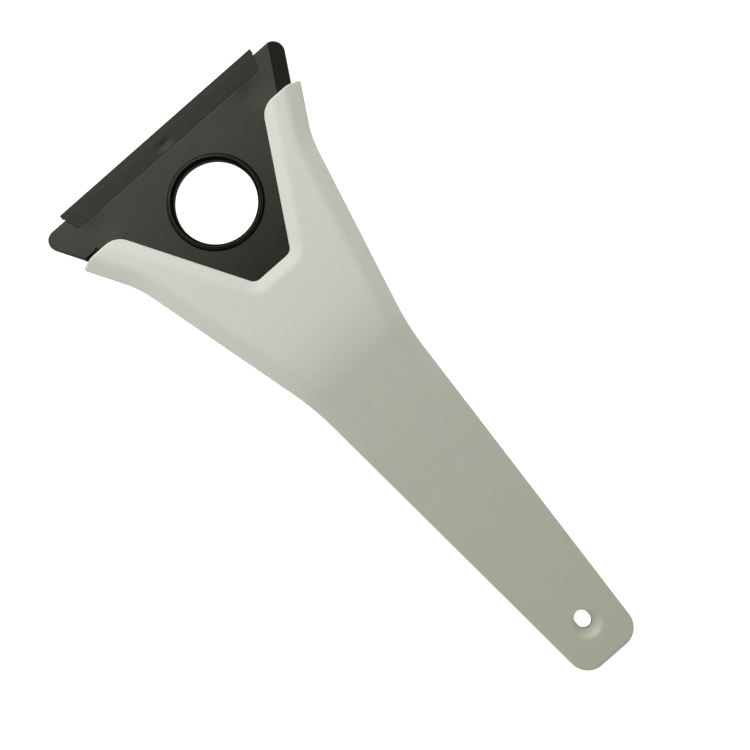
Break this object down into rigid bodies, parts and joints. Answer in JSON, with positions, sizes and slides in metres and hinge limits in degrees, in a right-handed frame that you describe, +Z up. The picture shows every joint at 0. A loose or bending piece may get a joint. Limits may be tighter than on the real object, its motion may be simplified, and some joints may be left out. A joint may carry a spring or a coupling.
{
  "type": "ice scraper",
  "caption": "Hand ice scraper: a bent grey fork handle holds a triangular black head with a bevelled edge, a toothed edge, a rubber blade and a finger hole. The head slides out to be turned.",
  "frame": {"origin": "on the surface it lies on, below the centre of its bounding box", "axes": "+Y along the handle towards the head, +X across, +Z up from the front face"},
  "size_m": [0.1238, 0.28, 0.0253],
  "materials": {
    "handle_grey": "fine satin grain",
    "head_black": "fine satin grain",
    "rubber_black": "matt",
    "ring_black": "soft gloss",
    "spring_steel": "plain",
    "screw_steel": "zinc plated"
  },
  "bodies": {
    "handle": {"front_shell": "handle_grey", "back_shell": "handle_grey", "detent_spring": "spring_steel", "detent_rivet": "spring_steel", "corner_buffer": "rubber_black", "fork_screw_left": "screw_steel", "fork_screw_right": "screw_steel", "waist_screw": "screw_steel", "grip_screw": "screw_steel", "tail_screw": "screw_steel", "fork_plug_left": "handle_grey", "fork_plug_right": "handle_grey", "waist_plug": "handle_grey", "grip_plug": "handle_grey", "tail_plug": "handle_grey"},
    "head": {"head_plate": "head_black", "squeegee_blade": "rubber_black", "finger_ring": "ring_black"}
  },
  "joints": [
    {"name": "head_slide", "type": "slide", "parent": "handle", "child": "head", "axis": [0, 0.9903, -0.1392], "range_m": [0, 0.092], "deforming": ["detent_spring"]}
  ]
}
